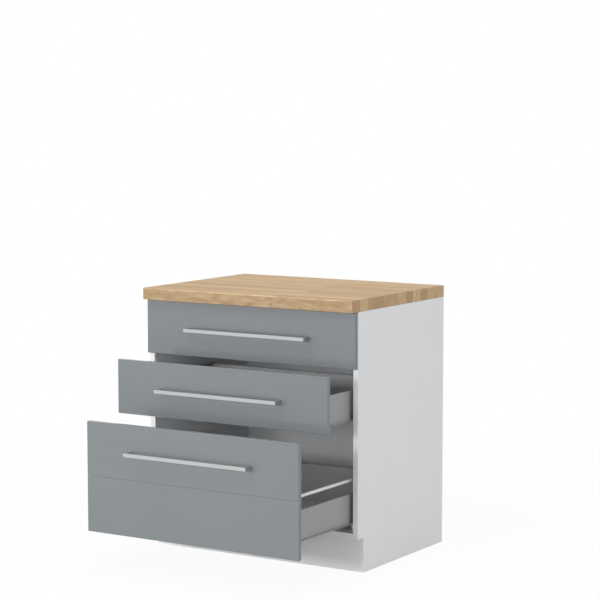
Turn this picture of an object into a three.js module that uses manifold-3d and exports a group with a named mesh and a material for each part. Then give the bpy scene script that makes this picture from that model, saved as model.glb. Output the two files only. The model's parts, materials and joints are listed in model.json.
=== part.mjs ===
// Kitchen base cabinet, 800 mm wide: a white carcass under an oak worktop, with three drawers
// that have lacquered fronts, bow handles and sheet-steel sides on roller runners.
//
// Millimetres. +X is to the right of someone facing the fronts, +Y runs from the fronts to the
// wall and +Z is up. Until the last lines, y = 0 is the carcass's front edge. The finished
// group is then set back, so that its origin lies on the floor under the middle of the plinth.

import * as THREE from 'three';
import { mergeVertices } from 'three/addons/utils/BufferGeometryUtils.js';
import Module from 'manifold-3d';

const wasm = await Module();
wasm.setup();

// ---------------------------------------------------------------- driving dimensions

const gap = 0.3;                    // between pieces that touch

// Carcass
const cabinetWidth = 800;
const carcassDepth = 562;
const carcassHeight = 720;
const boardThickness = 18;
const plinthHeight = 112;
const plinthSetback = 36;
const plinthThickness = 16;
const topRailDepth = 100;
const backThickness = 3;
const backRebate = 9;               // how far the back panel reaches into each side panel

// Worktop and its screws
const worktopThickness = 38;
const worktopOverhang = 38;
const worktopEdgeRadius = 4;
const screwRadius = 2;
const screwHeadRadius = 4.5;
const screwHeadHeight = 3;
const screwTipLength = 5;
const screwGrip = 22;               // how far a screw reaches into the worktop
const screwInset = 60;              // from the side panel's inner face

// Drawer fronts
const frontThickness = 16;
const frontGap = 1.5;               // from the carcass to a closed front
const frontReveal = 3;              // between two fronts, and between two cabinets
const frontDrop = 1;                // how far the fronts hang below the carcass's edges
const frontModule = 180;            // one panel height, reveal included
const grooveWidth = 9;
const grooveDepth = 3.5;
const grooveUpperFlank = 2.5;       // from the groove's upper edge down to its deepest line

// Handles
const handleLength = 460;
const handleBar = 12;
const handleProjection = 35;
const handleDrop = 91;              // from the top of a front's module to the bar's middle

// Drawer boxes
const drawerSideGap = 12.5;         // from the side panel to the drawer's steel side
const drawerRearRoom = 60.5;        // from a closed drawer to the back panel
const steelSheet = 1.2;
const steelSideHeight = 93.5;
const topHem = 5;                   // the inward fold along a steel side's top edge
const baseShelf = 15;               // the inward fold that carries the drawer's base
const baseRise = 5;                 // from a steel side's lower edge to the base's underside
const baseThickness = 16;
const backWallThickness = 16;
const rearTabWidth = 20;            // the fold of a steel side behind the drawer's back wall

// Brackets between a steel side and the front
const bracketSheet = 2;
const bracketReach = 45;
const bracketFlange = 22;
const bracketHeight = 60;
const bracketLift = 3;              // above the drawer's base

// Gallery rails of the deep drawer
const galleryRadius = 5;
const galleryHeight = 136;          // above the steel side's lower edge
const galleryInset = 5;             // from the steel side's outer face
const holderWall = 1.5;
const holderFloor = 2;
const holderDepth = 8;

// Roller runners
const drawerTravel = 376;
const runnerSheet = 1.2;
const runnerSetback = 2;
const runnerWebHeight = 34;
const runnerHoleRadius = 2.25;
const runnerHoleSetback = 37;
const runnerHoleCount = 3;
const runnerEndRoom = 1.5;          // from the closed drawer's rear roller to the runner's end
const rollerRadius = 9;
const rollerEdge = 0.8;             // the chamfer at a roller's rim
const rollerSideRoom = 2.5;         // on each side of a roller, inside the drawer's side gap
const rollerPlay = 0.6;             // above the rear roller, inside the channel
const axleRadius = 2.5;
const axleHeadRadius = 4;
const axleHeadThickness = 1.2;
const flangeClearance = 1.7;        // from the channel's top to the drawer's running flange
const frontRollerSetback = 16;
const frontRollerClearance = 5;     // from the front roller to the channel's upper flange
const rearRollerSetback = 18.5;     // from the drawer's rear end
const runningFlangeEdge = 1;        // how far the running flange passes the roller
const axleLugHalfWidth = 12;
const axleLugDrop = 6;              // below the rear axle
const stopHeight = 4;
const stopThickness = 2;
const stopClearance = 1;            // from the fully open drawer's rear roller to its stop

// The two kinds of drawer box
const shallowSideLift = 18.5;       // from the lower end of the front's module to the steel side
const shallowBackWallHeight = 69;   // above the base
const deepSideLift = 50;
const deepBackWallHeight = 121.5;

const roundSegments = 20;
const screwHoleSegments = 6;        // in each half of a hole
const edgeSegments = 4;

const shallowBox = { sideLift: shallowSideLift, backWallHeight: shallowBackWallHeight, gallery: false };
const deepBox = { sideLift: deepSideLift, backWallHeight: deepBackWallHeight, gallery: true };

// The drawers from the top down, as the cabinet stands: the upper one shut and the others open.
const drawers = [
  { name: 'top', panels: 1, openShare: 0, ...shallowBox },
  { name: 'middle', panels: 1, openShare: 0.435, ...shallowBox },
  { name: 'bottom', panels: 2, openShare: 0.875, ...deepBox },
];

// ---------------------------------------------------------------- derived places

const outerX = cabinetWidth / 2;
const innerX = outerX - boardThickness;
const carcassTop = plinthHeight + carcassHeight;
const backPanelFront = carcassDepth - backThickness;
const fixedRear = backPanelFront - gap;          // where boards end in front of the back panel

const frontBack = -frontGap;                     // the rear face of a closed drawer front
const frontFace = frontBack - frontThickness;
const frontsTop = carcassTop - frontDrop;

const steelOuterX = innerX - drawerSideGap;
const steelInnerX = steelOuterX - steelSheet;
const boxRear = backPanelFront - drawerRearRoom;
const boxFront = frontBack + gap;
const backWallRear = boxRear - steelSheet - gap;
const backWallFront = backWallRear - backWallThickness;

// Across the side gap, from the drawer's steel side out to the runner's web
const webOuterX = innerX - gap;
const webInnerX = webOuterX - runnerSheet;
const rollerInnerX = steelOuterX + rollerSideRoom;
const rollerOuterX = webInnerX - rollerSideRoom;
const channelInnerX = rollerInnerX - gap;
const runningFlangeX = rollerOuterX + runningFlangeEdge;

// Heights of the runner, measured from the steel side's lower edge
const frontRollerZ = -gap - rollerRadius;
const channelTopZ = -flangeClearance;
const rearRollerZ = channelTopZ - runnerSheet - rollerPlay - rollerRadius;
const channelFloorZ = rearRollerZ - rollerRadius - gap;

// Places of the rollers along the closed drawer
const rearRollerY = boxRear - rearRollerSetback;
const frontRollerY = frontRollerSetback;
const runnerRear = rearRollerY + rollerRadius + runnerEndRoom + runnerSheet;

// ---------------------------------------------------------------- shaping helpers

const xAxis = new THREE.Vector3(1, 0, 0);
const yAxis = new THREE.Vector3(0, 1, 0);
const zAxis = new THREE.Vector3(0, 0, 1);

// A box from its lowest and highest x, y and z.
function slab([x0, x1], [y0, y1], [z0, z1]) {
  const box = new THREE.BoxGeometry(x1 - x0, y1 - y0, z1 - z0);
  return box.translate((x0 + x1) / 2, (y0 + y1) / 2, (z0 + z1) / 2);
}

function flatShape(outline) {
  return new THREE.Shape(outline.map(([u, v]) => new THREE.Vector2(u, v)));
}

function extruded(shape, length, curveSegments = edgeSegments) {
  return new THREE.ExtrudeGeometry(shape, { depth: length, bevelEnabled: false, curveSegments });
}

// A shape drawn in (y, z) and extruded along X.
function extrudedX(shape, x0, x1, curveSegments) {
  const turn = new THREE.Matrix4().makeBasis(yAxis, zAxis, xAxis);
  return extruded(shape, x1 - x0, curveSegments).applyMatrix4(turn).translate(x0, 0, 0);
}

// An outline drawn in (x, z) and extruded along Y.
function extrudedY(outline, y0, y1) {
  const turn = new THREE.Matrix4().makeBasis(xAxis, zAxis, yAxis.clone().negate());
  return extruded(flatShape(outline), y1 - y0).applyMatrix4(turn).translate(0, y1, 0);
}

// An outline drawn in (x, y) and extruded along Z.
function extrudedZ(outline, z0, z1) {
  return extruded(flatShape(outline), z1 - z0).translate(0, 0, z0);
}

// A turned piece. Its profile is a list of [radius, distance along the axis].
function turned(profile) {
  const points = profile.map(([radius, along]) => new THREE.Vector2(radius, along));
  return new THREE.LatheGeometry(points, roundSegments);
}

function turnedX(profile, y, z) {
  return turned(profile).rotateZ(-Math.PI / 2).translate(0, y, z);
}

function turnedY(profile, x, z) {
  return turned(profile).translate(x, 0, z);
}

function turnedZ(profile, x, y) {
  return turned(profile).rotateX(Math.PI / 2).translate(x, y, 0);
}

// A solid rod's profile: its radius between two distances along the axis.
function rod(radius, from, to) {
  return [[0, from], [radius, from], [radius, to], [0, to]];
}

function bare(geometry) {
  const plain = new THREE.BufferGeometry();
  plain.setAttribute('position', geometry.getAttribute('position').clone());
  plain.setIndex(geometry.getIndex() ? geometry.getIndex().clone() : null);
  return mergeVertices(plain);
}

function toSolid(geometry) {
  const merged = bare(geometry);
  const vertProperties = new Float32Array(merged.getAttribute('position').array);
  const triVerts = new Uint32Array(merged.getIndex().array);
  return new wasm.Manifold(new wasm.Mesh({ numProp: 3, vertProperties, triVerts }));
}

function toGeometry(solid) {
  const { vertProperties, triVerts } = solid.getMesh();
  const geometry = new THREE.BufferGeometry();
  geometry.setAttribute('position', new THREE.BufferAttribute(vertProperties, 3));
  geometry.setIndex(new THREE.BufferAttribute(triVerts, 1));
  return geometry;
}

function join(...geometries) {
  return toGeometry(geometries.map(toSolid).reduce((whole, piece) => whole.add(piece)));
}

function cut(geometry, ...tools) {
  return toGeometry(tools.map(toSolid).reduce((whole, tool) => whole.subtract(tool), toSolid(geometry)));
}

// The left-hand twin of a right-hand piece. Its faces are wound again, so that they point out.
function mirrored(geometry) {
  const twin = bare(geometry).scale(-1, 1, 1);
  const corners = twin.getIndex();
  for (let first = 0; first < corners.count; first += 3) {
    const second = corners.getX(first + 1);
    corners.setX(first + 1, corners.getX(first + 2));
    corners.setX(first + 2, second);
  }
  return twin;
}

// ---------------------------------------------------------------- finishes and nodes

const finishes = {
  oak: { color: 0xc49c72, roughness: 0.5, metalness: 0 },
  whiteBoard: { color: 0xecedee, roughness: 0.45, metalness: 0 },
  whiteBack: { color: 0xf0f1f2, roughness: 0.6, metalness: 0 },
  baseBoard: { color: 0xdcdddf, roughness: 0.45, metalness: 0 },
  wallBoard: { color: 0xc9cacc, roughness: 0.45, metalness: 0 },
  greyLacquer: { color: 0x797e80, roughness: 0.15, metalness: 0 },
  handleSteel: { color: 0xd1d1d2, roughness: 0.35, metalness: 0.9 },
  coatedSteel: { color: 0x9c9c9c, roughness: 0.4, metalness: 0 },
  railSteel: { color: 0xe5e6e8, roughness: 0.3, metalness: 0 },
  nylon: { color: 0xe8e6df, roughness: 0.5, metalness: 0 },
  zinc: { color: 0xb4b6b8, roughness: 0.35, metalness: 0.9 },
};

function addNode(group, name, geometry, finish) {
  geometry.computeVertexNormals();
  const mesh = new THREE.Mesh(geometry, new THREE.MeshStandardMaterial(finishes[finish]));
  mesh.name = name;
  group.add(mesh);
}

// Adds a right-hand piece and its left-hand twin.
function addPair(group, name, geometry, finish) {
  addNode(group, `${name}_left`, mirrored(geometry), finish);
  addNode(group, `${name}_right`, geometry, finish);
}

// ---------------------------------------------------------------- carcass

// The panel stands on the floor, with a toe notch below its front edge and a rebate for the back.
function sidePanel() {
  const top = carcassTop - gap;
  const outline = flatShape([
    [plinthSetback, 0],
    [carcassDepth, 0],
    [carcassDepth, top],
    [0, top],
    [0, plinthHeight],
    [plinthSetback, plinthHeight],
  ]);
  const board = extrudedX(outline, innerX, outerX);
  const rebate = slab([innerX - 1, innerX + backRebate], [fixedRear, carcassDepth + 1], [-1, top + 1]);
  return cut(board, rebate);
}

function bottomPanel() {
  const x = innerX - gap;
  return slab([-x, x], [0, fixedRear], [plinthHeight, plinthHeight + boardThickness]);
}

function backPanel() {
  const x = innerX + backRebate - gap;
  return slab([-x, x], [backPanelFront, carcassDepth], [plinthHeight, carcassTop - gap]);
}

function plinthBoard() {
  const x = innerX - gap;
  return slab([-x, x], [plinthSetback, plinthSetback + plinthThickness], [0, plinthHeight - gap]);
}

// The two rails that join the side panels at the top, each with the holes for its two screws.
const railUnderside = carcassTop - gap - boardThickness;
const frontRailY = [0, topRailDepth];
const rearRailY = [fixedRear - topRailDepth, fixedRear];
const screwX = innerX - screwInset;

function middleOf([low, high]) {
  return (low + high) / 2;
}

function topRail(yRange) {
  const x = innerX - gap;
  const board = slab([-x, x], yRange, [railUnderside, carcassTop - gap]);
  const hole = rod(screwRadius + gap, railUnderside - 1, carcassTop + 1);
  const holes = [-screwX, screwX].map((along) => turnedZ(hole, along, middleOf(yRange)));
  return cut(board, ...holes);
}

// ---------------------------------------------------------------- worktop

// The front edge is rounded along the top. Four blind holes in the underside take the screws.
function worktop() {
  const front = -worktopOverhang;
  const top = carcassTop + worktopThickness;
  const section = new THREE.Shape();
  section.moveTo(carcassDepth, carcassTop);
  section.lineTo(carcassDepth, top);
  section.lineTo(front + worktopEdgeRadius, top);
  section.absarc(
    front + worktopEdgeRadius, top - worktopEdgeRadius, worktopEdgeRadius, Math.PI / 2, Math.PI);
  section.lineTo(front, carcassTop);
  const slabOfOak = extrudedX(section, -outerX, outerX);
  const pilot = rod(screwRadius + gap, carcassTop - 1, carcassTop + screwGrip + gap);
  const pilots = [];
  for (const yRange of [frontRailY, rearRailY]) {
    pilots.push(turnedZ(pilot, -screwX, middleOf(yRange)));
    pilots.push(turnedZ(pilot, screwX, middleOf(yRange)));
  }
  return cut(slabOfOak, ...pilots);
}

// A pan-head screw, driven up through a top rail.
function worktopScrew(x, y) {
  const headTop = railUnderside - gap;
  const tip = carcassTop + screwGrip;
  return turnedZ([
    [0, headTop - screwHeadHeight],
    [screwHeadRadius * 0.8, headTop - screwHeadHeight],
    [screwHeadRadius, headTop - screwHeadHeight / 2],
    [screwHeadRadius, headTop],
    [screwRadius, headTop],
    [screwRadius, tip - screwTipLength],
    [0, tip],
  ], x, y);
}

// ---------------------------------------------------------------- roller runners

function rollerProfile() {
  const bore = axleRadius + gap;
  return [
    [bore, rollerInnerX],
    [rollerRadius - rollerEdge, rollerInnerX],
    [rollerRadius, rollerInnerX + rollerEdge],
    [rollerRadius, rollerOuterX - rollerEdge],
    [rollerRadius - rollerEdge, rollerOuterX],
    [bore, rollerOuterX],
    [bore, rollerInnerX],
  ];
}

// The cabinet's half of a runner: a channel that opens towards the drawer. Its web is screwed to
// the side panel, its front end carries a roller's axle, and a raised stop in its floor keeps the
// drawer's rear roller in. Heights are from the drawer side's lower edge.
function cabinetRunner() {
  const front = runnerSetback;
  const floorBottom = channelFloorZ - runnerSheet;
  const web = flatShape([
    [front, floorBottom],
    [runnerRear, floorBottom],
    [runnerRear, floorBottom + runnerWebHeight],
    [front, floorBottom + runnerWebHeight],
  ]);
  const holeZ = (channelTopZ + floorBottom + runnerWebHeight) / 2;
  const holeSpan = runnerRear - front - 2 * runnerHoleSetback;
  for (let index = 0; index < runnerHoleCount; index += 1) {
    const holeY = front + runnerHoleSetback + (holeSpan * index) / (runnerHoleCount - 1);
    const hole = new THREE.Path();
    hole.absarc(holeY, holeZ, runnerHoleRadius, 0, 2 * Math.PI);
    web.holes.push(hole);
  }
  const upperFront = frontRollerY + rollerRadius + frontRollerClearance;
  const bite = webInnerX + runnerSheet / 2;      // the flanges run into the middle of the web
  const openRearRollerY = rearRollerY - drawerTravel;
  const rollerAtStop = Math.sqrt(rollerRadius ** 2 - (rollerRadius + gap - stopHeight) ** 2);
  const stopRear = openRearRollerY - rollerAtStop - stopClearance;
  return join(
    extrudedX(web, webInnerX, webOuterX, screwHoleSegments),
    slab([channelInnerX, bite], [front, runnerRear], [floorBottom, channelFloorZ]),
    slab([channelInnerX, bite], [upperFront, runnerRear], [channelTopZ - runnerSheet, channelTopZ]),
    slab([channelInnerX, bite], [runnerRear - runnerSheet, runnerRear], [floorBottom, channelTopZ]),
    slab([channelInnerX, bite], [stopRear - stopThickness, stopRear],
      [floorBottom, channelFloorZ + stopHeight]),
    turnedX([
      [0, rollerInnerX - gap - axleHeadThickness],
      [axleHeadRadius, rollerInnerX - gap - axleHeadThickness],
      [axleHeadRadius, rollerInnerX - gap],
      [axleRadius, rollerInnerX - gap],
      [axleRadius, rollerOuterX + gap],
      [axleHeadRadius, rollerOuterX + gap],
      [axleHeadRadius, bite],
      [0, bite],
    ], frontRollerY, frontRollerZ),
  );
}

// ---------------------------------------------------------------- drawer pieces

// The steel side is one folded sheet. From its lower edge, which is the running flange, it rises
// past the shelf for the base to a hem. At the rear it has a tab behind the back wall and a lug
// with the rear roller's axle. Heights are from its lower edge.
function steelSide() {
  const top = steelSideHeight;
  const shelf = baseRise - gap;
  const section = [
    [runningFlangeX, 0],
    [runningFlangeX, steelSheet],
    [steelOuterX, steelSheet],
    [steelOuterX, top],
    [steelInnerX - topHem, top],
    [steelInnerX - topHem, top - steelSheet],
    [steelInnerX, top - steelSheet],
    [steelInnerX, shelf],
    [steelInnerX - baseShelf, shelf],
    [steelInnerX - baseShelf, shelf - steelSheet],
    [steelInnerX, shelf - steelSheet],
    [steelInnerX, 0],
  ];
  const folded = extrudedY(section.reverse(), boxFront, boxRear);
  const hemRelief = slab(
    [steelInnerX - topHem - 1, steelInnerX], [backWallFront - gap, boxRear + 1], [shelf + gap, top + 1]);
  const tab = slab(
    [steelInnerX - rearTabWidth, steelOuterX], [boxRear - steelSheet, boxRear],
    [baseRise, top - topHem]);
  const lug = slab(
    [steelInnerX, steelOuterX], [rearRollerY - axleLugHalfWidth, rearRollerY + axleLugHalfWidth],
    [rearRollerZ - axleLugDrop, steelSheet]);
  const axle = turnedX([
    [0, steelInnerX],
    [axleHeadRadius, steelInnerX],
    [axleHeadRadius, rollerInnerX - gap],
    [axleRadius, rollerInnerX - gap],
    [axleRadius, rollerOuterX + gap],
    [axleHeadRadius, rollerOuterX + gap],
    [axleHeadRadius, rollerOuterX + gap + axleHeadThickness],
    [0, rollerOuterX + gap + axleHeadThickness],
  ], rearRollerY, rearRollerZ);
  return join(cut(folded, hemRelief), tab, lug, axle);
}

function drawerBase() {
  const x = steelInnerX - gap;
  return slab([-x, x], [boxFront, backWallRear], [baseRise, baseRise + baseThickness]);
}

function drawerBackWall(height) {
  const x = steelInnerX - gap;
  const foot = baseRise + baseThickness + gap;
  const top = baseRise + baseThickness + height;
  return slab([-x, x], [backWallFront, backWallRear], [foot, top]);
}

// An angle bracket inside the steel side, screwed to the front's rear face.
function frontBracket() {
  const x = steelInnerX - gap;
  const foot = baseRise + baseThickness + bracketLift;
  const outline = [
    [x, boxFront],
    [x, boxFront + bracketReach],
    [x - bracketSheet, boxFront + bracketReach],
    [x - bracketSheet, boxFront + bracketSheet],
    [x - bracketFlange, boxFront + bracketSheet],
    [x - bracketFlange, boxFront],
  ];
  return extrudedZ(outline, foot, foot + bracketHeight);
}

// A cup that holds one end of a gallery rail. It opens towards the rail.
const galleryX = steelOuterX - galleryInset;

function railHolder(wallY, towardsRail) {
  const bore = galleryRadius + gap;
  const outer = bore + holderWall;
  const profile = [
    [0, 0],
    [outer, 0],
    [outer, holderDepth],
    [bore, holderDepth],
    [bore, holderFloor],
    [0, holderFloor],
  ];
  const cup = turned(profile);
  if (towardsRail < 0) {
    cup.rotateX(Math.PI);
  }
  return cup.translate(galleryX, wallY, galleryHeight);
}

function galleryRail() {
  const front = boxFront + holderFloor + gap;
  const rear = backWallFront - gap - holderFloor - gap;
  return turnedY(rod(galleryRadius, front, rear), galleryX, galleryHeight);
}

// A plain panel, or two panels high with a groove in its face where the lower one starts. The
// groove's upper flank is the steep one.
function drawerFront(top, bottom, grooveZ) {
  const x = outerX - frontReveal / 2;
  const upper = top - frontReveal / 2;
  const lower = bottom + frontReveal / 2;
  const section = [
    [frontBack, lower],
    [frontBack, upper],
    [frontFace, upper],
  ];
  if (grooveZ !== null) {
    const grooveTop = grooveZ + grooveWidth / 2;
    section.push([frontFace, grooveTop]);
    section.push([frontFace + grooveDepth, grooveTop - grooveUpperFlank]);
    section.push([frontFace, grooveTop - grooveWidth]);
  }
  section.push([frontFace, lower]);
  return extrudedX(flatShape(section), -x, x);
}

// A bow handle of square bar. Its legs stand on the front's face, flush with the bar's ends.
function bowHandle(middleZ) {
  const end = handleLength / 2;
  const foot = frontFace - gap;
  const face = frontFace - handleProjection;
  const outline = [
    [-end, foot],
    [-end, face],
    [end, face],
    [end, foot],
    [end - handleBar, foot],
    [end - handleBar, face + handleBar],
    [handleBar - end, face + handleBar],
    [handleBar - end, foot],
  ];
  return extrudedZ(outline, middleZ - handleBar / 2, middleZ + handleBar / 2);
}

// ---------------------------------------------------------------- assembly

const cabinet = new THREE.Group();
cabinet.name = 'base_cabinet';

addPair(cabinet, 'side_panel', sidePanel(), 'whiteBoard');
addNode(cabinet, 'bottom_panel', bottomPanel(), 'whiteBoard');
addNode(cabinet, 'front_rail', topRail(frontRailY), 'whiteBoard');
addNode(cabinet, 'rear_rail', topRail(rearRailY), 'whiteBoard');
addNode(cabinet, 'back_panel', backPanel(), 'whiteBack');
addNode(cabinet, 'plinth_board', plinthBoard(), 'whiteBoard');
addNode(cabinet, 'worktop', worktop(), 'oak');
addPair(cabinet, 'worktop_screw_front', worktopScrew(screwX, middleOf(frontRailY)), 'zinc');
addPair(cabinet, 'worktop_screw_rear', worktopScrew(screwX, middleOf(rearRailY)), 'zinc');

let moduleTop = frontsTop;
for (const { name, panels, openShare, sideLift, backWallHeight, gallery } of drawers) {
  const lowest = name === drawers.at(-1).name;
  const moduleBottom = lowest ? plinthHeight - frontDrop : moduleTop - panels * frontModule;
  const sideZ = moduleBottom + sideLift;

  // Everything here but the front and its handle is placed from the steel side's lower edge.
  const fixed = new THREE.Group();
  fixed.position.z = sideZ;
  addPair(fixed, `${name}_runner`, cabinetRunner(), 'zinc');
  addPair(fixed, `${name}_front_roller`, turnedX(rollerProfile(), frontRollerY, frontRollerZ), 'nylon');
  cabinet.add(fixed);

  const drawer = new THREE.Group();
  drawer.position.y = -openShare * drawerTravel;
  const grooveZ = panels > 1 ? moduleTop - frontModule : null;
  addNode(drawer, `${name}_front`, drawerFront(moduleTop, moduleBottom, grooveZ), 'greyLacquer');
  addNode(drawer, `${name}_handle`, bowHandle(moduleTop - handleDrop), 'handleSteel');

  const box = new THREE.Group();
  box.position.z = sideZ;
  addPair(box, `${name}_steel_side`, steelSide(), 'coatedSteel');
  addNode(box, `${name}_base`, drawerBase(), 'baseBoard');
  addNode(box, `${name}_back_wall`, drawerBackWall(backWallHeight), 'wallBoard');
  addPair(box, `${name}_front_bracket`, frontBracket(), 'zinc');
  addPair(box, `${name}_rear_roller`, turnedX(rollerProfile(), rearRollerY, rearRollerZ), 'nylon');
  if (gallery) {
    addPair(box, `${name}_gallery_rail`, galleryRail(), 'railSteel');
    addPair(box, `${name}_rail_holder_front`, railHolder(boxFront, 1), 'railSteel');
    addPair(box, `${name}_rail_holder_rear`, railHolder(backWallFront - gap, -1), 'railSteel');
  }
  drawer.add(box);
  cabinet.add(drawer);
  moduleTop = moduleBottom;
}

// The origin goes to the floor, under the middle of the plinth board.
cabinet.position.y = -(plinthSetback + plinthThickness / 2);

export default cabinet;
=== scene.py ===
"""Looks of the kitchen base cabinet: materials, softened edges, screws, floor, light and camera.

Metres. +X is to the right of someone facing the fronts, +Y runs from the fronts to the wall and
+Z is up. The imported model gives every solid; what is made here sits on it.
"""

import json
import math

import bmesh
import bpy
from mathutils import Matrix, Vector


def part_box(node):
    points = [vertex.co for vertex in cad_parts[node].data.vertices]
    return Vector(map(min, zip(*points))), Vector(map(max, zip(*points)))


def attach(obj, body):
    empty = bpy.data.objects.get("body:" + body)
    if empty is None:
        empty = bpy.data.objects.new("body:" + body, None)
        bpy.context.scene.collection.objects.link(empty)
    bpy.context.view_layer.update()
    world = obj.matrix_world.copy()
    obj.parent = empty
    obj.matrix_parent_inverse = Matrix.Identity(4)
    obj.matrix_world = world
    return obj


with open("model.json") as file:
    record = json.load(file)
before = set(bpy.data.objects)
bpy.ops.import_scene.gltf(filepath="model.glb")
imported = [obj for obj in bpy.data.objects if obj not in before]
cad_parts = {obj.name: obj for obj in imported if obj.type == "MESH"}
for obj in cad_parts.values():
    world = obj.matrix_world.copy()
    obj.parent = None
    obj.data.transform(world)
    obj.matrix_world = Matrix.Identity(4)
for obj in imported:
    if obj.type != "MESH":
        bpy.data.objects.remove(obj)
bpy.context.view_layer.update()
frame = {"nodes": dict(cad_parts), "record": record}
nodes = frame["nodes"]
scene = bpy.context.scene

DRAWERS = ("top", "middle", "bottom")
MM = 0.001

# ---------------------------------------------------------------- camera

camera_data = bpy.data.cameras.new("camera")
camera_data.sensor_width = 36
camera_data.lens = 122.05
camera = bpy.data.objects.new("camera", camera_data)
camera.location = (3.57991, -5.45849, 1.52543)
camera.rotation_euler = (math.radians(84.04), 0, math.radians(32.08))
scene.collection.objects.link(camera)
scene.camera = camera


# ---------------------------------------------------------------- node trees

class Look:
    """A material around one Principled shader, with short ways to add nodes to it."""

    def __init__(self, name, colour, roughness, **sockets):
        self.material = bpy.data.materials.new(name)
        self.material.use_nodes = True
        self.tree = self.material.node_tree
        self.shader = self.tree.nodes["Principled BSDF"]
        self.shader.inputs["Base Color"].default_value = (*colour, 1)
        self.shader.inputs["Roughness"].default_value = roughness
        for socket, value in sockets.items():
            self.shader.inputs[socket.replace("_", " ")].default_value = value
        place = self.tree.nodes.new("ShaderNodeTexCoord")
        self.place = place.outputs["Object"]
        self.normal = place.outputs["Normal"]

    def set(self, socket, source):
        self.tree.links.new(source, self.shader.inputs[socket])

    def add(self, kind, inputs, **settings):
        node = self.tree.nodes.new(kind)
        for key, value in settings.items():
            setattr(node, key, value)
        for key, value in inputs.items():
            if isinstance(value, bpy.types.NodeSocket):
                self.tree.links.new(value, node.inputs[key])
            else:
                node.inputs[key].default_value = value
        return node

    def math(self, operation, first, second=0.0):
        return self.add("ShaderNodeMath", {0: first, 1: second}, operation=operation).outputs[0]

    def split(self, vector):
        return self.add("ShaderNodeSeparateXYZ", {0: vector}).outputs

    def join(self, x, y, z):
        return self.add("ShaderNodeCombineXYZ", {0: x, 1: y, 2: z}).outputs[0]

    def scaled(self, vector, x, y, z):
        inputs = {0: vector, 1: (x, y, z)}
        return self.add("ShaderNodeVectorMath", inputs, operation="MULTIPLY").outputs[0]

    def moved(self, vector, offset):
        return self.add("ShaderNodeVectorMath", {0: vector, 1: offset}, operation="ADD").outputs[0]

    def noise(self, vector, scale, detail=2.0, roughness=0.5):
        inputs = {"Vector": vector, "Scale": scale, "Detail": detail, "Roughness": roughness}
        return self.add("ShaderNodeTexNoise", inputs).outputs[0]

    def random(self, vector):
        node = self.add("ShaderNodeTexWhiteNoise", {"Vector": vector}, noise_dimensions="3D")
        return node.outputs[0]

    def spread(self, value, low, high, to_low, to_high):
        """value's range from low to high, carried over to another range and held at its ends."""
        inputs = {0: value, 1: low, 2: high, 3: to_low, 4: to_high}
        return self.add("ShaderNodeMapRange", inputs).outputs[0]

    def blend(self, share, first, second):
        """Two colours, mixed by share."""
        node = self.tree.nodes.new("ShaderNodeMix")
        node.data_type = "RGBA"
        ends = {node.inputs[0]: share, node.inputs[6]: first, node.inputs[7]: second}
        for socket, value in ends.items():
            if isinstance(value, bpy.types.NodeSocket):
                self.tree.links.new(value, socket)
            else:
                socket.default_value = (*value, 1) if isinstance(value, tuple) else value
        return node.outputs[2]

    def fade(self, value, low, high, first, second):
        """The first colour where value is low or less, and the second where it is high or more."""
        return self.blend(self.spread(value, low, high, 0, 1), first, second)

    def bump(self, height, depth):
        """Bumps of this depth in metres."""
        node = self.add("ShaderNodeBump", {"Height": height, "Distance": depth, "Strength": 1.0})
        self.set("Normal", node.outputs[0])


# ---------------------------------------------------------------- materials

WORKTOP_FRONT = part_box("worktop")[0].y
WORKTOP_MIDDLE_Z = 850 * MM
STAVE_WIDTH = 48.6 * MM
STAVE_LENGTH = 900 * MM
GLUE_LINE = 0.3 * MM                # its width at half strength
RING_SPACING = 3.4 * MM
RING_WANDER = 16 * MM
PITH_ASIDE = 40 * MM                # at most, from the middle of a stave
PITH_DEPTHS = (20 * MM, 90 * MM)    # below the worktop's middle
WORKTOP_PORE_DEPTH = 0.06 * MM
SCREEN_WAVES = 2600.0               # radians per metre, a wave every 2.4 mm


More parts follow.
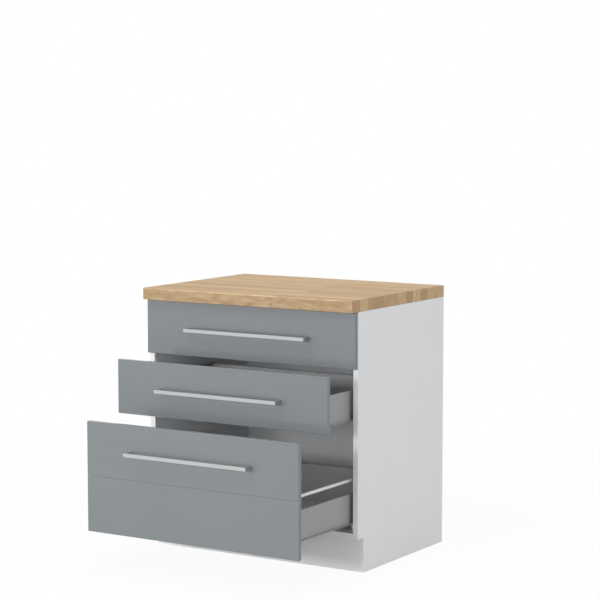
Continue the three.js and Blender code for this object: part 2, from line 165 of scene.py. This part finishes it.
def oak():
    """Edge-glued staves along X. Each has the rings of solid wood, so the ends show end grain."""
    look = Look("oak", (0.5, 0.345, 0.19), 0.6)
    x, y, z = look.split(look.place)
    across = look.math("DIVIDE", look.math("SUBTRACT", y, WORKTOP_FRONT), STAVE_WIDTH)
    row = look.math("FLOOR", across)
    shift = look.random(look.join(row, 3.0, 7.0))
    lengths = look.math("DIVIDE", x, STAVE_LENGTH)
    along = look.math("ADD", lengths, look.math("MULTIPLY", shift, 5.0))
    stave = look.join(row, look.math("FLOOR", along), 11.0)
    tone = look.random(stave)
    second = look.random(look.scaled(stave, 1.0, 3.0, 5.0))

    # Growth rings round a pith that lies somewhere below each stave
    pith_y = look.spread(second, 0, 1, -PITH_ASIDE, PITH_ASIDE)
    pith_z = look.spread(tone, 0, 1, *PITH_DEPTHS)
    from_middle = look.math("SUBTRACT", look.math("FRACT", across), 0.5)
    from_y = look.math("SUBTRACT", look.math("MULTIPLY", from_middle, STAVE_WIDTH), pith_y)
    from_z = look.math("ADD", look.math("SUBTRACT", z, WORKTOP_MIDDLE_Z), pith_z)
    in_stave = look.moved(look.place, look.scaled(stave, 1.7, 2.3, 0.0))
    drift = look.noise(look.scaled(in_stave, 1.5, 22.0, 22.0), 1.0, 3.0)
    squares = look.math("ADD", look.math("POWER", from_y, 2.0), look.math("POWER", from_z, 2.0))
    radius = look.math("SQRT", squares)
    wander = look.math("MULTIPLY", drift, RING_WANDER)
    turns = look.math("DIVIDE", look.math("ADD", radius, wander), RING_SPACING)
    ring = look.math("SINE", look.math("MULTIPLY", turns, 2 * math.pi))

    # Figure: broad soft bands, long fine streaks, and the short dark pores of the early wood
    band = look.noise(look.scaled(in_stave, 1.6, 75.0, 75.0), 1.0, 2.0)
    streak = look.noise(look.scaled(in_stave, 5.0, 260.0, 260.0), 1.0, 3.0, 0.6)
    pores = look.noise(look.scaled(in_stave, 28.0, 1500.0, 1500.0), 1.0, 1.0)
    in_early_wood = look.spread(ring, -0.2, 0.9, 0.15, 1)
    early = look.math("MULTIPLY", look.spread(pores, 0.56, 0.66, 0, 1), in_early_wood)

    light = look.blend(tone, (0.70, 0.505, 0.305), (0.51, 0.35, 0.195))
    wood = look.blend(look.spread(band, 0.42, 0.62, 0, 0.62), light, (0.36, 0.225, 0.11))
    wood = look.blend(look.spread(ring, -1, 1, 0, 0.25), wood, (0.40, 0.26, 0.13))
    wood = look.blend(look.spread(streak, 0.38, 0.64, 0.0, 0.42), wood, (0.37, 0.235, 0.115))
    wood = look.blend(look.math("MULTIPLY", early, 0.55), wood, (0.25, 0.15, 0.08))

    # The front edge is paler, with a mottle where the cut runs along the rings
    is_front = look.spread(look.split(look.normal)[1], -0.8, -0.6, 1, 0)
    mottle = look.noise(look.scaled(in_stave, 16.0, 55.0, 55.0), 1.0, 3.0, 0.6)
    edge = look.fade(mottle, 0.38, 0.56, (0.79, 0.61, 0.38), (0.57, 0.405, 0.225))
    edge = look.blend(look.spread(mottle, 0.56, 0.68, 0, 0.7), edge, (0.34, 0.205, 0.10))
    edge = look.blend(look.math("MULTIPLY", early, 0.5), edge, (0.25, 0.15, 0.08))
    wood = look.blend(look.math("MULTIPLY", is_front, 0.8), wood, edge)

    # The sawn ends are darker, with the staves' tones further apart
    facing = look.math("ABSOLUTE", look.split(look.normal)[0])
    is_end = look.spread(facing, 0.6, 0.8, 0, 1)
    fine_lines = look.noise(look.scaled(in_stave, 0.0, 420.0, 40.0), 1.0, 2.0)
    broad_lines = look.noise(look.scaled(in_stave, 0.0, 120.0, 9.0), 1.0, 2.0)
    end = look.blend(tone, (0.79, 0.585, 0.345), (0.49, 0.325, 0.17))
    end = look.blend(look.math("MULTIPLY", second, 0.3), end, (0.61, 0.365, 0.195))
    end = look.blend(look.spread(broad_lines, 0.42, 0.66, 0, 0.4), end, (0.37, 0.225, 0.115))
    end = look.blend(look.spread(fine_lines, 0.35, 0.65, 0, 0.35), end, (0.30, 0.18, 0.095))
    end = look.blend(look.spread(ring, 0.2, 1, 0, 0.2), end, (0.28, 0.17, 0.09))
    wood = look.blend(is_end, wood, end)

    # Glue lines between the rows, and between the staves of a row, but not on the sawn ends
    edge_y = look.math("ABSOLUTE", from_middle)
    edge_x = look.math("ABSOLUTE", look.math("SUBTRACT", look.math("FRACT", along), 0.5))
    line_y = look.spread(edge_y, 0.5 - GLUE_LINE / STAVE_WIDTH, 0.5, 0, 1)
    line_x = look.spread(edge_x, 0.5 - GLUE_LINE / STAVE_LENGTH, 0.5, 0, 1)
    line_x = look.math("MULTIPLY", line_x, look.math("SUBTRACT", 1.0, is_end))
    line = look.math("MAXIMUM", line_y, line_x)
    wood = look.blend(look.math("MULTIPLY", line, 0.5), wood, (0.2, 0.12, 0.06))
    look.set("Base Color", wood)
    look.set("Roughness", look.spread(streak, 0.2, 0.8, 0.58, 0.72))
    in_pores = look.math("MULTIPLY", early, -1.0)
    in_lines = look.math("MULTIPLY", line, -0.6)
    look.bump(look.math("ADD", in_pores, in_lines), WORKTOP_PORE_DEPTH)
    return look.material


def melamine(name, level, raw_rear):
    """Pale foil with a fine pearl. A rear edge that faces the wall may show the raw chipboard."""
    look = Look(name, (level, level, level), 0.4)
    cool = (level * 0.99, level, level * 1.02)
    cloud = look.noise(look.place, 9.0, 2.0)
    pearl = look.noise(look.place, 1100.0, 1.0)
    dimmer = tuple(channel * 0.98 for channel in cool)
    colour = look.fade(cloud, 0.3, 0.7, dimmer, cool)
    roughness = look.spread(pearl, 0.3, 0.7, 0.36, 0.46)
    if raw_rear:
        to_wall = look.spread(look.split(look.normal)[1], 0.6, 0.8, 0, 1)
        chips = look.noise(look.scaled(look.place, 420.0, 420.0, 640.0), 1.0, 2.0, 0.7)
        chipboard = look.fade(chips, 0.35, 0.65, (0.30, 0.19, 0.105), (0.62, 0.46, 0.30))
        colour = look.blend(to_wall, colour, chipboard)
        roughness = look.math("MAXIMUM", roughness, look.math("MULTIPLY", to_wall, 0.85))
    look.set("Base Color", colour)
    look.set("Roughness", roughness)
    look.bump(pearl, 0.012 * MM)
    return look.material


def hardboard():
    """White in front. Behind, the bare board with the print of the screen it was pressed on."""
    look = Look("hardboard", (0.88, 0.89, 0.905), 0.55)
    to_wall = look.spread(look.split(look.normal)[1], 0.4, 0.6, 0, 1)
    x, y, z = look.split(look.place)
    mesh_x = look.math("SINE", look.math("MULTIPLY", x, SCREEN_WAVES))
    mesh_z = look.math("SINE", look.math("MULTIPLY", z, SCREEN_WAVES))
    screen = look.math("MULTIPLY", look.math("MULTIPLY", mesh_x, mesh_z), to_wall)
    fibre = look.noise(look.place, 260.0, 4.0, 0.7)
    brown = look.fade(fibre, 0.3, 0.7, (0.20, 0.115, 0.06), (0.36, 0.23, 0.13))
    cloud = look.noise(look.place, 7.0, 2.0)
    white = look.fade(cloud, 0.3, 0.7, (0.87, 0.88, 0.895), (0.89, 0.90, 0.915))
    look.set("Base Color", look.blend(to_wall, white, brown))
    rough = look.math("ADD", to_wall, look.math("MULTIPLY", fibre, 0.2))
    look.set("Roughness", look.spread(rough, 0, 1.2, 0.45, 0.9))
    look.bump(look.math("ADD", screen, look.math("MULTIPLY", fibre, 0.3)), 0.08 * MM)
    return look.material


def lacquer():
    """Gloss grey lacquer with a faint orange peel. The side that faces the wall is satin."""
    look = Look("grey_lacquer", (0.191, 0.208, 0.217), 0.12)
    peel = look.noise(look.place, 230.0, 1.0)
    cloud = look.noise(look.place, 3.0, 1.0)
    look.set("Base Color", look.fade(cloud, 0.3, 0.7, (0.187, 0.204, 0.213), (0.195, 0.212, 0.221)))
    to_wall = look.spread(look.split(look.normal)[1], 0.6, 0.8, 0, 0.34)
    look.set("Roughness", look.math("ADD", look.spread(peel, 0.3, 0.7, 0.10, 0.15), to_wall))
    look.bump(peel, 0.01 * MM)
    return look.material


def brushed(name, colour, roughness, scale):
    """Metal with fine lines along X."""
    look = Look(name, colour, roughness, Metallic=1.0)
    lines = look.noise(look.scaled(look.place, *scale), 1.0, 3.0, 0.6)
    darker = tuple(channel * 0.88 for channel in colour)
    look.set("Base Color", look.fade(lines, 0.3, 0.7, darker, colour))
    look.set("Roughness", look.spread(lines, 0.3, 0.7, roughness - 0.05, roughness + 0.08))
    look.bump(lines, 0.01 * MM)
    return look.material


def powder_coat(name, colour, roughness, grain):
    """Baked powder on sheet steel, with a fine grain."""
    look = Look(name, colour, roughness)
    grains = look.noise(look.place, grain, 2.0, 0.6)
    darker = tuple(channel * 0.95 for channel in colour)
    look.set("Base Color", look.fade(grains, 0.35, 0.65, darker, colour))
    look.set("Roughness", look.spread(grains, 0.3, 0.7, roughness - 0.04, roughness + 0.06))
    look.bump(grains, 0.02 * MM)
    return look.material


def zinc():
    """Zinc plate, clouded and a little blue, with the rolled sheet's fine lines."""
    look = Look("zinc", (0.62, 0.64, 0.66), 0.34, Metallic=1.0)
    cloud = look.noise(look.place, 60.0, 3.0, 0.6)
    lines = look.noise(look.scaled(look.place, 900.0, 25.0, 900.0), 1.0, 2.0)
    look.set("Base Color", look.fade(cloud, 0.35, 0.65, (0.52, 0.545, 0.57), (0.68, 0.69, 0.70)))
    look.set("Roughness", look.spread(look.math("ADD", cloud, lines), 0.7, 1.3, 0.28, 0.44))
    look.bump(lines, 0.008 * MM)
    return look.material


def nylon():
    """Natural nylon, which lets in a little light, with faint flow marks."""
    look = Look("nylon", (0.78, 0.76, 0.70), 0.45, Subsurface_Weight=0.15, Subsurface_Scale=0.002)
    flow = look.noise(look.place, 240.0, 2.0)
    look.set("Base Color", look.fade(flow, 0.3, 0.7, (0.74, 0.72, 0.66), (0.80, 0.785, 0.73)))
    look.set("Roughness", look.spread(flow, 0.3, 0.7, 0.4, 0.52))
    look.bump(flow, 0.01 * MM)
    return look.material


zinc_plate = zinc()
plinth_finish = melamine("plinth_board", 0.84, raw_rear=False)
by_slot = {
    "oak": oak(),
    "white_board": melamine("carcass_board", 0.85, raw_rear=True),
    # The drawers' bases and back walls are greyer than the carcass white, and the back walls greyer
    # still. These greys are partly the boards' own light grey and partly painted shade for the dim
    # insides of the drawers.
    "base_board": melamine("base_board", 0.72, raw_rear=False),
    "wall_board": melamine("wall_board", 0.59, raw_rear=False),
    "white_back": hardboard(),
    "grey_lacquer": lacquer(),
    "handle_steel": brushed("handle_steel", (0.64, 0.64, 0.645), 0.32, (18.0, 2400.0, 2400.0)),
    "coated_steel": powder_coat("coated_steel", (0.33, 0.33, 0.33), 0.42, 900.0),
    "rail_steel": powder_coat("rail_steel", (0.79, 0.795, 0.81), 0.3, 1100.0),
    "nylon": nylon(),
    "zinc": zinc_plate,
}
slot_of = {part["node"]: part["material_slot"] for part in frame["record"]["subparts"]}
for name, node in nodes.items():
    node.data.materials.clear()
    node.data.materials.append(plinth_finish if name == "plinth_board" else by_slot[slot_of[name]])


# ---------------------------------------------------------------- softened edges

WELD_REACH = 0.01 * MM
FLAT_ANGLE = math.radians(0.5)      # faces this close to one plane become one
EDGE_ANGLE = math.radians(30)       # edges sharper than this are rounded


def soften(node, width, segments, weights=None):
    """Rounds a node's sharp edges by modifiers alone. Its own mesh keeps every vertex.

    weights, where given, is a function from an edge's two ends to the share of the width there.
    """
    mesh = node.data
    for attribute in ("custom_normal", "sharp_face", "sharp_edge"):
        if attribute in mesh.attributes:
            mesh.attributes.remove(mesh.attributes[attribute])
    mesh.shade_smooth()
    weld = node.modifiers.new("weld", "WELD")
    weld.merge_threshold = WELD_REACH
    plane = node.modifiers.new("plane", "DECIMATE")
    plane.decimate_type = "DISSOLVE"
    plane.angle_limit = FLAT_ANGLE
    bevel = node.modifiers.new("bevel", "BEVEL")
    bevel.width = width
    bevel.segments = segments
    bevel.limit_method = "ANGLE"
    bevel.angle_limit = EDGE_ANGLE
    bevel.miter_outer = "MITER_ARC"
    if weights:
        bevel.limit_method = "WEIGHT"
        layer = mesh.attributes.new("bevel_weight_edge", "FLOAT", "EDGE")
        for edge in mesh.edges:
            ends = [mesh.vertices[index].co for index in edge.vertices]
            layer.data[edge.index].value = weights(*ends)
    normals = node.modifiers.new("normals", "WEIGHTED_NORMAL")
    normals.keep_sharp = True


EDGE_WIDTHS = {
    "white_board": 0.6 * MM,
    "base_board": 0.6 * MM,
    "wall_board": 0.6 * MM,
    "white_back": 0.3 * MM,
    "oak": 1.0 * MM,
    "grey_lacquer": 2.0 * MM,
    "handle_steel": 0.8 * MM,
    "coated_steel": 0.25 * MM,
    "rail_steel": 0.4 * MM,
    "nylon": 0.25 * MM,
    "zinc": 0.25 * MM,
}
GROOVE_EDGE = 0.3                   # of the width at a front's outer edges


def groove_weights(node):
    """Full width at a front's outline, and crisp edges along a groove in its face."""
    low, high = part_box(node.name)

    def weight(first, second):
        if any(not low.z + MM < end.z < high.z - MM for end in (first, second)):
            return 1.0
        in_groove_floor = min(first.y, second.y) > low.y + MM
        return 0.0 if in_groove_floor else GROOVE_EDGE

    return weight


for name, node in nodes.items():
    slot = slot_of[name]
    segments = 4 if slot == "grey_lacquer" else 2
    grooved = name == "bottom_front"
    soften(node, EDGE_WIDTHS[slot], segments, groove_weights(node) if grooved else None)


# ---------------------------------------------------------------- screws

def revolved(mesh, profile, steps):
    """Turns a profile of (radius, height) round Z. It starts and ends on the axis."""
    rings = []
    for radius, height in profile:
        if radius == 0:
            rings.append([mesh.verts.new((0, 0, height))])
            continue
        ring = []
        for step in range(steps):
            angle = 2 * math.pi * step / steps
            x, y = radius * math.cos(angle), radius * math.sin(angle)
            ring.append(mesh.verts.new((x, y, height)))
        rings.append(ring)
    for lower, upper in zip(rings, rings[1:]):
        for step in range(steps):
            after = (step + 1) % steps
            corners = [lower[step % len(lower)], lower[after % len(lower)],
                       upper[after % len(upper)], upper[step % len(upper)]]
            mesh.faces.new(list(dict.fromkeys(corners)))


def recess(mesh, reach, half_width, top, depth):
    """Two crossed wedges, which cut the recess of a screw head."""
    ends = ((top - depth, reach * 0.35, half_width * 0.7), (top + MM, reach * 1.3, half_width))
    sides = ((0, 1, 5, 4), (1, 2, 6, 5), (2, 3, 7, 6), (3, 0, 4, 7))
    for quarter in (0, 1):
        turn = Matrix.Rotation(quarter * math.pi / 2, 3, "Z")
        corners = []
        for height, length, width in ends:
            for x, y in ((-length, -width), (length, -width), (length, width), (-length, width)):
                corners.append(mesh.verts.new(turn @ Vector((x, y, height))))
        for face in ((3, 2, 1, 0), (4, 5, 6, 7), *sides):
            mesh.faces.new([corners[index] for index in face])


def solid_object(name, build):
    mesh = bmesh.new()
    build(mesh)
    bmesh.ops.recalc_face_normals(mesh, faces=mesh.faces)
    data = bpy.data.meshes.new(name)
    mesh.to_mesh(data)
    mesh.free()
    obj = bpy.data.objects.new(name, data)
    scene.collection.objects.link(obj)
    return obj


HEAD_STEPS = 32
DOME_STEPS = 5
RECESS_REACH = 0.55                 # of the head's radius
RECESS_HALF_WIDTH = 0.13            # of the head's radius
RECESS_DEPTH = 0.75                 # of the head's height
MERGE_REACH = 0.003 * MM            # shorter leftovers of the boolean are merged away


def screw_head(radius, height):
    """A pan head with a cross recess. It stands on z = 0 and looks along +Z."""
    rim = height * 0.45
    profile = [(0, 0), (radius * 0.96, 0), (radius, rim * 0.3), (radius, rim)]
    for step in range(1, DOME_STEPS + 1):
        angle = step * math.pi / 12
        out = radius * (0.45 + 0.55 * math.cos(angle))
        profile.append((out, rim + (height - rim) * math.sin(angle)))
    profile += [(radius * 0.3, height), (0, height)]
    cross = (radius * RECESS_REACH, radius * RECESS_HALF_WIDTH, height, height * RECESS_DEPTH)
    head = solid_object("head", lambda mesh: revolved(mesh, profile, HEAD_STEPS))
    cutter = solid_object("cutter", lambda mesh: recess(mesh, *cross))
    cut = head.modifiers.new("cut", "BOOLEAN")
    cut.operation = "DIFFERENCE"
    cut.solver = "EXACT"
    cut.use_self = True
    cut.object = cutter
    evaluated = head.evaluated_get(bpy.context.evaluated_depsgraph_get())
    shape = bpy.data.meshes.new_from_object(evaluated)
    for scrap in (head, cutter):
        bpy.data.objects.remove(scrap)
    clean = bmesh.new()
    clean.from_mesh(shape)
    bmesh.ops.remove_doubles(clean, verts=clean.verts, dist=MERGE_REACH)
    bmesh.ops.dissolve_degenerate(clean, edges=clean.edges, dist=MERGE_REACH)
    clean.to_mesh(shape)
    clean.free()
    return shape


HEAD_SHARP_ANGLE = math.radians(35)


def screws(name, head, places, body):
    """One object of several heads, each at a point and looking along a direction, on one body."""
    mesh = bmesh.new()
    for index, (point, towards) in enumerate(places):
        turn = Vector((0, 0, 1)).rotation_difference(Vector(towards)).to_matrix().to_4x4()
        spin = Matrix.Rotation(0.7 * index + 0.3, 4, "Z")
        placed = head.copy()
        placed.transform(Matrix.Translation(point) @ turn @ spin)
        mesh.from_mesh(placed)
        bpy.data.meshes.remove(placed)
    data = bpy.data.meshes.new(name)
    mesh.to_mesh(data)
    mesh.free()
    data.materials.append(zinc_plate)
    data.set_sharp_from_angle(angle=HEAD_SHARP_ANGLE)
    obj = bpy.data.objects.new(name, data)
    scene.collection.objects.link(obj)
    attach(obj, body)


small_head = screw_head(3.3 * MM, 1.7 * MM)
large_head = screw_head(4.2 * MM, 2.3 * MM)

HANDLE_LEG = 12 * MM
RUNNER_HOLE_SETBACK = 37 * MM
RUNNER_HOLE_RISE = 27.65 * MM       # from the runner's lowest edge to its holes
RUNNER_WEB = 1.2 * MM
BRACKET_SHEET = 2 * MM
BRACKET_SCREW_ASIDE = 8 * MM        # from the bracket's inner edge
BRACKET_SCREW_SHARES = (0.25, 0.75)    # of the bracket's height
TAB_SCREW_ASIDE = 9 * MM            # from the tab's inner edge
TAB_SCREW_DROPS = (23.5 * MM, 63.5 * MM)    # from the tab's upper edge

for drawer in DRAWERS:
    body = f"{drawer}_drawer"
    rear_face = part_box(f"{drawer}_front")[1].y
    low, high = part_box(f"{drawer}_handle")
    leg_x = high.x - HANDLE_LEG / 2
    handle_z = (low.z + high.z) / 2
    places = [((x, rear_face, handle_z), (0, 1, 0)) for x in (-leg_x, leg_x)]
    screws(f"{drawer}_handle_screws", large_head, places, body)

    on_brackets, on_tabs, on_runners = [], [], []
    for side, sign in (("left", -1), ("right", 1)):
        low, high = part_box(f"{drawer}_front_bracket_{side}")
        inner_x = min(abs(low.x), abs(high.x))
        bracket_x = inner_x + BRACKET_SCREW_ASIDE
        for share in BRACKET_SCREW_SHARES:
            z = low.z + share * (high.z - low.z)
            on_brackets.append(((sign * bracket_x, low.y + BRACKET_SHEET, z), (0, 1, 0)))

        low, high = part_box(f"{drawer}_steel_side_{side}")
        tab_x = min(abs(low.x), abs(high.x)) + TAB_SCREW_ASIDE
        for drop in TAB_SCREW_DROPS:
            on_tabs.append(((sign * tab_x, high.y, high.z - drop), (0, 1, 0)))

        low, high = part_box(f"{drawer}_runner_{side}")
        web_x = max(abs(low.x), abs(high.x)) - RUNNER_WEB
        first, last = low.y + RUNNER_HOLE_SETBACK, high.y - RUNNER_HOLE_SETBACK
        for y in (first, (first + last) / 2, last):
            on_runners.append(((sign * web_x, y, low.z + RUNNER_HOLE_RISE), (-sign, 0, 0)))
    screws(f"{drawer}_bracket_screws", small_head, on_brackets, body)
    screws(f"{drawer}_tab_screws", small_head, on_tabs, body)
    screws(f"{drawer}_runner_screws", small_head, on_runners, "carcass")

for shape in (small_head, large_head):
    bpy.data.meshes.remove(shape)


# ---------------------------------------------------------------- floor, world and light

def seen_rays(tree):
    """1 for camera, glossy and transmission rays, and 0 for the rays that carry diffuse light."""
    path = tree.nodes.new("ShaderNodeLightPath")
    seen = path.outputs["Is Camera Ray"]
    for ray in ("Is Glossy Ray", "Is Transmission Ray"):
        either = tree.nodes.new("ShaderNodeMath")
        either.operation = "MAXIMUM"
        tree.links.new(seen, either.inputs[0])
        tree.links.new(path.outputs[ray], either.inputs[1])
        seen = either.outputs[0]
    return seen


def white_to_viewer(tree, output, lit, share):
    """Shows white to the rays that are seen, in this share, and the lit shader beside it."""
    seen = seen_rays(tree)
    part = tree.nodes.new("ShaderNodeMath")
    part.operation = "MULTIPLY"
    tree.links.new(seen, part.inputs[0])
    if isinstance(share, bpy.types.NodeSocket):
        tree.links.new(share, part.inputs[1])
    else:
        part.inputs[1].default_value = share
    on_surface = output.type == "OUTPUT_MATERIAL"
    white = tree.nodes.new("ShaderNodeEmission" if on_surface else "ShaderNodeBackground")
    white.inputs["Color"].default_value = (1, 1, 1, 1)
    white.inputs["Strength"].default_value = 1.0
    mix = tree.nodes.new("ShaderNodeMixShader")
    tree.links.new(part.outputs[0], mix.inputs[0])
    tree.links.new(lit.outputs[0], mix.inputs[1])
    tree.links.new(white.outputs[0], mix.inputs[2])
    tree.links.new(mix.outputs[0], output.inputs["Surface"])


AMBIENT = 0.365
world = bpy.data.worlds.new("world")
scene.world = world
world.use_nodes = True
background = world.node_tree.nodes["Background"]
background.inputs["Color"].default_value = (1, 1, 1, 1)
background.inputs["Strength"].default_value = AMBIENT
white_to_viewer(world.node_tree, world.node_tree.nodes["World Output"], background, 1.0)

FLOOR_HALF = 12.0
FLOOR_DROP = 0.1 * MM               # keeps it clear of the cabinet's lower edges
FLOOR_BOUNCE = 0.55                 # its colour for diffuse light
FLOOR_SHOWN = 0.95                  # its colour for the rays that are seen
FLOOR_FADE = (1.0, 2.6)             # distances between which it turns to plain white
FLOOR_WHITE = (0.93, 1.0)           # the share of white at those distances
corners = ((-1, -1), (1, -1), (1, 1), (-1, 1))
floor_mesh = bpy.data.meshes.new("floor")
floor_mesh.from_pydata([(x * FLOOR_HALF, y * FLOOR_HALF, 0) for x, y in corners], [], [(0, 1, 2, 3)])
floor = bpy.data.objects.new("floor", floor_mesh)
floor.location.z = -FLOOR_DROP
scene.collection.objects.link(floor)
floor_finish = bpy.data.materials.new("floor")
floor_finish.use_nodes = True
tree = floor_finish.node_tree
tree.nodes.remove(tree.nodes["Principled BSDF"])
diffuse = tree.nodes.new("ShaderNodeBsdfDiffuse")
colour = tree.nodes.new("ShaderNodeMapRange")
colour.inputs["To Min"].default_value = FLOOR_BOUNCE
colour.inputs["To Max"].default_value = FLOOR_SHOWN
tree.links.new(seen_rays(tree), colour.inputs["Value"])
tree.links.new(colour.outputs[0], diffuse.inputs["Color"])
place = tree.nodes.new("ShaderNodeTexCoord")
distance = tree.nodes.new("ShaderNodeVectorMath")
distance.operation = "LENGTH"
tree.links.new(place.outputs["Object"], distance.inputs[0])
share = tree.nodes.new("ShaderNodeMapRange")
for socket, value in enumerate((0, *FLOOR_FADE, *FLOOR_WHITE)):
    share.inputs[socket].default_value = value
tree.links.new(distance.outputs["Value"], share.inputs[0])
white_to_viewer(tree, tree.nodes["Material Output"], diffuse, share.outputs[0])
floor_mesh.materials.append(floor_finish)


def area_light(name, place, target, width, height, power, mirrored=True):
    """A soft lamp. Where it isn't mirrored, gloss shows the white surroundings in its place."""
    data = bpy.data.lights.new(name, "AREA")
    data.shape = "RECTANGLE"
    data.size = width
    data.size_y = height
    data.energy = power
    light = bpy.data.objects.new(name, data)
    light.location = place
    light.rotation_euler = (Vector(target) - Vector(place)).to_track_quat("-Z", "Y").to_euler()
    light.visible_camera = False
    light.visible_glossy = mirrored
    scene.collection.objects.link(light)


MIDDLE = (0, 0.1, 0.45)
area_light("left front", (-2.5, -4.7, 1.0), MIDDLE, 4.4, 1.6, 65, mirrored=False)
area_light("front", (-0.6, -5.2, 1.46), MIDDLE, 3.0, 0.8, 112, mirrored=False)
area_light("right front", (3.4, -5.4, 1.2), MIDDLE, 2.4, 1.4, 34, mirrored=False)
area_light("right", (4.8, 0.1, 1.5), (0.4, 0.1, 0.45), 3.6, 2.4, 52)
area_light("top front", (-0.8, -2.4, 4.4), MIDDLE, 2.4, 2.4, 45, mirrored=False)
area_light("top", (0.2, 0.9, 5.0), (0, 0.2, 0.45), 3.0, 3.0, 80)

scene.view_settings.view_transform = "Standard"
